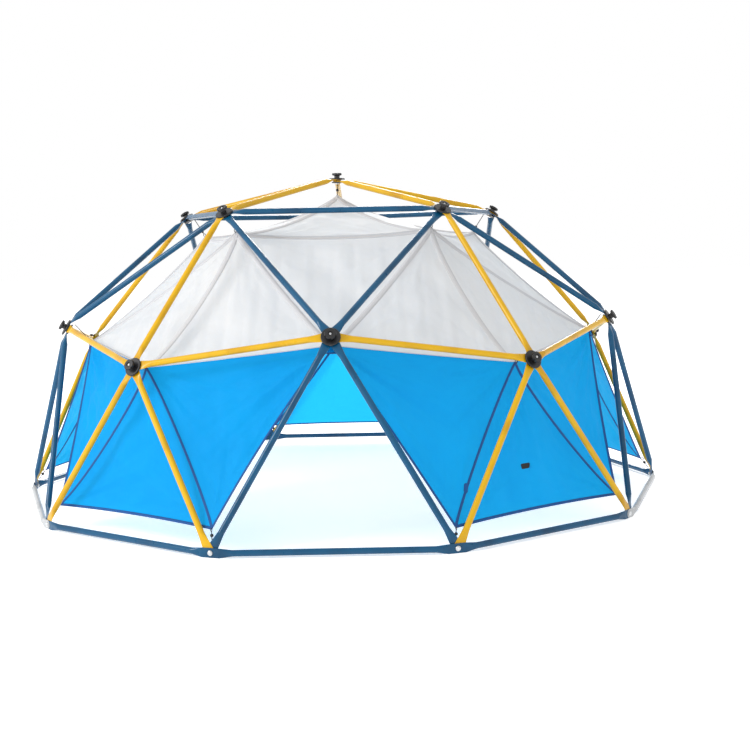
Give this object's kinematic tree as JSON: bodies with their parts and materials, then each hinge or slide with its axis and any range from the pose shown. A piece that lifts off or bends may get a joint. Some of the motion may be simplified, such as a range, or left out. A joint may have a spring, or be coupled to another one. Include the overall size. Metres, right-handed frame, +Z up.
{
  "type": "dome climber with canopy",
  "caption": "Geodesic steel-tube climbing dome with a tied-in fabric canopy: white roof, blue walls and triangular doorways; used as a shelter or playhouse.",
  "frame": {"origin": "on the ground below the middle of the dome", "axes": "+Z up, -Y out through door 1, +X towards door 2"},
  "size_m": [3.0684, 2.9516, 1.5195],
  "materials": {
    "yellow_paint": "gloss",
    "blue_paint": "gloss",
    "grey_paint": "gloss",
    "zinc_steel": "satin",
    "black_plastic": "satin",
    "white_cloth": "matte",
    "blue_cloth": "matte",
    "black_elastic": "matte"
  },
  "bodies": {
    "dome": {"crown_struts_1": "yellow_paint", "crown_struts_2": "yellow_paint", "crown_struts_3": "yellow_paint", "crown_struts_4": "yellow_paint", "crown_struts_5": "yellow_paint", "roof_struts_1": "blue_paint", "roof_struts_2": "blue_paint", "roof_struts_3": "blue_paint", "roof_struts_4": "blue_paint", "roof_struts_5": "blue_paint", "wall_struts_1": "yellow_paint", "wall_struts_2": "yellow_paint", "wall_struts_3": "yellow_paint", "wall_struts_4": "yellow_paint", "wall_struts_5": "yellow_paint", "door_struts_1": "blue_paint", "door_struts_2": "blue_paint", "door_struts_3": "blue_paint", "door_struts_4": "blue_paint", "door_struts_5": "blue_paint", "door_sill_1": "blue_paint", "door_sill_2": "grey_paint", "door_sill_3": "blue_paint", "door_sill_4": "blue_paint", "door_sill_5": "grey_paint", "wall_foot_1": "blue_paint", "wall_foot_2": "blue_paint", "wall_foot_3": "blue_paint", "wall_foot_4": "blue_paint", "wall_foot_5": "blue_paint", "hub_plates": "black_plastic", "hub_washers": "black_plastic", "hub_bolts": "zinc_steel", "base_bolts": "zinc_steel", "base_nuts": "zinc_steel", "canopy_crown": "white_cloth", "canopy_roof": "white_cloth", "canopy_wall_1": "blue_cloth", "canopy_wall_2": "blue_cloth", "canopy_wall_3": "blue_cloth", "canopy_wall_4": "blue_cloth", "canopy_wall_5": "blue_cloth", "corner_ties": "black_elastic", "tie_balls": "black_plastic"},
    "top_knob": {"top_knob": "black_plastic"},
    "ring_knob_1": {"ring_knob_1": "black_plastic"},
    "ring_knob_2": {"ring_knob_2": "black_plastic"},
    "ring_knob_3": {"ring_knob_3": "black_plastic"},
    "ring_knob_4": {"ring_knob_4": "black_plastic"},
    "ring_knob_5": {"ring_knob_5": "black_plastic"},
    "door_knob_1": {"door_knob_1": "black_plastic"},
    "door_knob_2": {"door_knob_2": "black_plastic"},
    "door_knob_3": {"door_knob_3": "black_plastic"},
    "door_knob_4": {"door_knob_4": "black_plastic"},
    "door_knob_5": {"door_knob_5": "black_plastic"},
    "wall_knob_1": {"wall_knob_1": "black_plastic"},
    "wall_knob_2": {"wall_knob_2": "black_plastic"},
    "wall_knob_3": {"wall_knob_3": "black_plastic"},
    "wall_knob_4": {"wall_knob_4": "black_plastic"},
    "wall_knob_5": {"wall_knob_5": "black_plastic"}
  },
  "joints": [
    {"name": "top_knob_turn", "type": "hinge", "parent": "dome", "child": "top_knob", "pos_m": [0, 0, 1.4955], "axis": [0, 0, 1], "continuous": true},
    {"name": "ring_knob_1_turn", "type": "hinge", "parent": "dome", "child": "ring_knob_1", "pos_m": [0.47512, -0.65395, 1.32692], "axis": [0.309, -0.4253, 0.8507], "continuous": true},
    {"name": "ring_knob_2_turn", "type": "hinge", "parent": "dome", "child": "ring_knob_2", "pos_m": [0.76877, 0.24979, 1.32692], "axis": [0.5, 0.1625, 0.8507], "continuous": true},
    {"name": "ring_knob_3_turn", "type": "hinge", "parent": "dome", "child": "ring_knob_3", "pos_m": [0, 0.80833, 1.32692], "axis": [0, 0.5257, 0.8507], "continuous": true},
    {"name": "ring_knob_4_turn", "type": "hinge", "parent": "dome", "child": "ring_knob_4", "pos_m": [-0.76877, 0.24979, 1.32692], "axis": [-0.5, 0.1625, 0.8507], "continuous": true},
    {"name": "ring_knob_5_turn", "type": "hinge", "parent": "dome", "child": "ring_knob_5", "pos_m": [-0.47512, -0.65395, 1.32692], "axis": [-0.309, -0.4253, 0.8507], "continuous": true},
    {"name": "door_knob_1_turn", "type": "hinge", "parent": "dome", "child": "door_knob_1", "pos_m": [0, -1.30793, 0.82733], "axis": [0, -0.8507, 0.5257], "continuous": true},
    {"name": "door_knob_2_turn", "type": "hinge", "parent": "dome", "child": "door_knob_2", "pos_m": [1.24391, -0.40417, 0.82733], "axis": [0.809, -0.2629, 0.5257], "continuous": true},
    {"name": "door_knob_3_turn", "type": "hinge", "parent": "dome", "child": "door_knob_3", "pos_m": [0.76878, 1.05813, 0.82733], "axis": [0.5, 0.6882, 0.5257], "continuous": true},
    {"name": "door_knob_4_turn", "type": "hinge", "parent": "dome", "child": "door_knob_4", "pos_m": [-0.76878, 1.05813, 0.82733], "axis": [-0.5, 0.6882, 0.5257], "continuous": true},
    {"name": "door_knob_5_turn", "type": "hinge", "parent": "dome", "child": "door_knob_5", "pos_m": [-1.24391, -0.40417, 0.82733], "axis": [-0.809, -0.2629, 0.5257], "continuous": true},
    {"name": "wall_knob_1_turn", "type": "hinge", "parent": "dome", "child": "wall_knob_1", "pos_m": [0.80779, -1.11182, 0.70614], "axis": [0.5257, -0.7236, 0.4472], "continuous": true},
    {"name": "wall_knob_2_turn", "type": "hinge", "parent": "dome", "child": "wall_knob_2", "pos_m": [1.30703, 0.42468, 0.70614], "axis": [0.8507, 0.2764, 0.4472], "continuous": true},
    {"name": "wall_knob_3_turn", "type": "hinge", "parent": "dome", "child": "wall_knob_3", "pos_m": [0, 1.37429, 0.70614], "axis": [0, 0.8944, 0.4472], "continuous": true},
    {"name": "wall_knob_4_turn", "type": "hinge", "parent": "dome", "child": "wall_knob_4", "pos_m": [-1.30703, 0.42468, 0.70614], "axis": [-0.8507, 0.2764, 0.4472], "continuous": true},
    {"name": "wall_knob_5_turn", "type": "hinge", "parent": "dome", "child": "wall_knob_5", "pos_m": [-0.80779, -1.11182, 0.70614], "axis": [-0.5257, -0.7236, 0.4472], "continuous": true}
  ]
}
